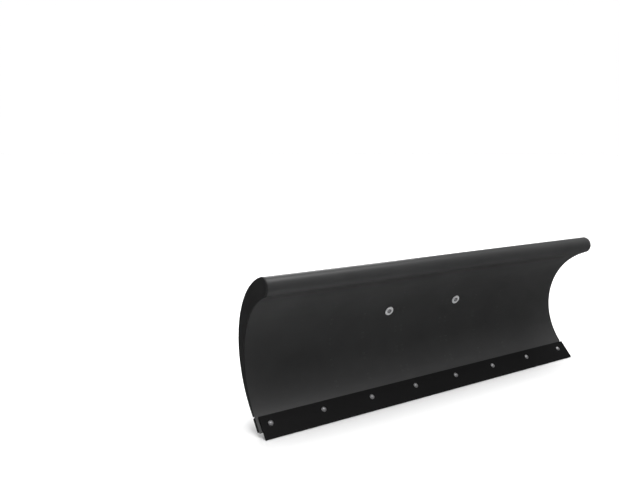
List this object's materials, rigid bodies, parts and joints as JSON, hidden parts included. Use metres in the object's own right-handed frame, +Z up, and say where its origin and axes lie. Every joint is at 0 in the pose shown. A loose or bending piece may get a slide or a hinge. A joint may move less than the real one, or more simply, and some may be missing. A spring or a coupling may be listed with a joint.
{
  "type": "atv plow blade",
  "caption": "Curved rolled-top ATV snow plow blade with a bolted wear bar, skid shoes, spring trip hinge and angling push head.",
  "frame": {"origin": "centre of the bounding box in X and Y, on the ground under the wear bar and skid shoes", "axes": "+X along the blade to the right as seen from the front, -Y the way the blade faces, +Z up"},
  "size_m": [1.55, 0.4926, 0.5563],
  "materials": {
    "grey_powder_coat": "satin",
    "black_powder_coat": "satin",
    "wear_steel": "satin",
    "zinc_plate": "satin",
    "spring_steel": "satin",
    "cast_iron": "matte",
    "cap_plastic": "matte"
  },
  "bodies": {
    "blade": {"moldboard": "grey_powder_coat", "end_plate_left": "grey_powder_coat", "end_plate_right": "grey_powder_coat", "wear_bar": "wear_steel", "backing_bar": "wear_steel", "wear_bar_bolts": "zinc_plate", "wear_bar_nuts": "zinc_plate", "hinge_rib_inner_left": "black_powder_coat", "hinge_rib_inner_right": "black_powder_coat", "hinge_rib_outer_left": "black_powder_coat", "hinge_rib_outer_right": "black_powder_coat", "rib_mid_left": "black_powder_coat", "rib_mid_right": "black_powder_coat", "rib_outer_left": "black_powder_coat", "rib_outer_right": "black_powder_coat", "tie_bar": "black_powder_coat", "face_bolts": "zinc_plate", "face_washers": "zinc_plate", "face_nuts": "zinc_plate", "spring_bracket_left": "black_powder_coat", "spring_bracket_right": "black_powder_coat", "spring_anchor_bolts": "zinc_plate", "spring_anchor_nuts": "zinc_plate", "skid_socket_left": "black_powder_coat", "skid_socket_right": "black_powder_coat", "skid_clamp_bolts": "zinc_plate", "skid_clamp_nuts": "zinc_plate", "trip_pins": "zinc_plate", "trip_pin_clips": "spring_steel"},
    "swivel": {"swivel_tube": "black_powder_coat", "swivel_tube_caps": "cap_plastic", "swivel_lugs": "black_powder_coat", "sector_plate": "black_powder_coat", "kingpin_hub": "black_powder_coat", "spring_tabs": "black_powder_coat", "spring_tab_bolts": "zinc_plate", "spring_tab_nuts": "zinc_plate"},
    "head": {"head_top_plate": "black_powder_coat", "head_bottom_plate": "black_powder_coat", "head_flange": "black_powder_coat", "head_gussets": "black_powder_coat", "kingpin": "zinc_plate", "kingpin_washers": "zinc_plate", "kingpin_nut": "zinc_plate", "lock_housing": "black_powder_coat", "lock_spring": "spring_steel"},
    "lock": {"lock_pin": "zinc_plate", "lock_handle": "spring_steel"},
    "springs_upper": {"spring_hook_upper_left": "spring_steel", "spring_hook_upper_right": "spring_steel", "spring_coil_left": "spring_steel", "spring_coil_right": "spring_steel"},
    "springs_lower": {"spring_hook_lower_left": "spring_steel", "spring_hook_lower_right": "spring_steel"},
    "skid_left": {"skid_shoe_left": "cast_iron", "skid_stem_left": "zinc_plate", "skid_clip_left": "spring_steel"},
    "skid_right": {"skid_shoe_right": "cast_iron", "skid_stem_right": "zinc_plate", "skid_clip_right": "spring_steel"}
  },
  "joints": [
    {"name": "trip_hinge", "type": "hinge", "parent": "blade", "child": "swivel", "pos_m": [0, -0.0587, 0.09], "axis": [1, 0, 0], "range_deg": [-30, 0], "stiffness_Nm_per_rad": 350, "springref_deg": 19.77},
    {"name": "angle_pivot", "type": "hinge", "parent": "swivel", "child": "head", "pos_m": [0, 0.0873, 0.09], "axis": [0, 0, 1], "range_deg": [-30, 30]},
    {"name": "lock_slide", "type": "slide", "parent": "head", "child": "lock", "axis": [0, 0, 1], "range_m": [-0.034, 0], "deforming": ["lock_spring"]},
    {"name": "spring_swing", "type": "hinge", "parent": "blade", "child": "springs_upper", "pos_m": [0, -0.01997, 0.31953], "axis": [1, 0, 0], "range_deg": [-6.44, 0]},
    {"name": "spring_stretch", "type": "slide", "parent": "springs_upper", "child": "springs_lower", "axis": [0, 0.3701, -0.929], "range_m": [0, 0.05875], "deforming": ["spring_coil_left", "spring_coil_right"]},
    {"name": "skid_left_slide", "type": "slide", "parent": "blade", "child": "skid_left", "axis": [0, 0, 1], "range_m": [-0.028, 0.033]},
    {"name": "skid_right_slide", "type": "slide", "parent": "blade", "child": "skid_right", "axis": [0, 0, 1], "range_m": [-0.028, 0.033]}
  ],
  "couplings": [
    {"joint": "spring_swing", "follows": "trip_hinge", "ratio": 0.20477},
    {"joint": "spring_stretch", "follows": "trip_hinge", "m_per_rad": -0.11125}
  ]
}
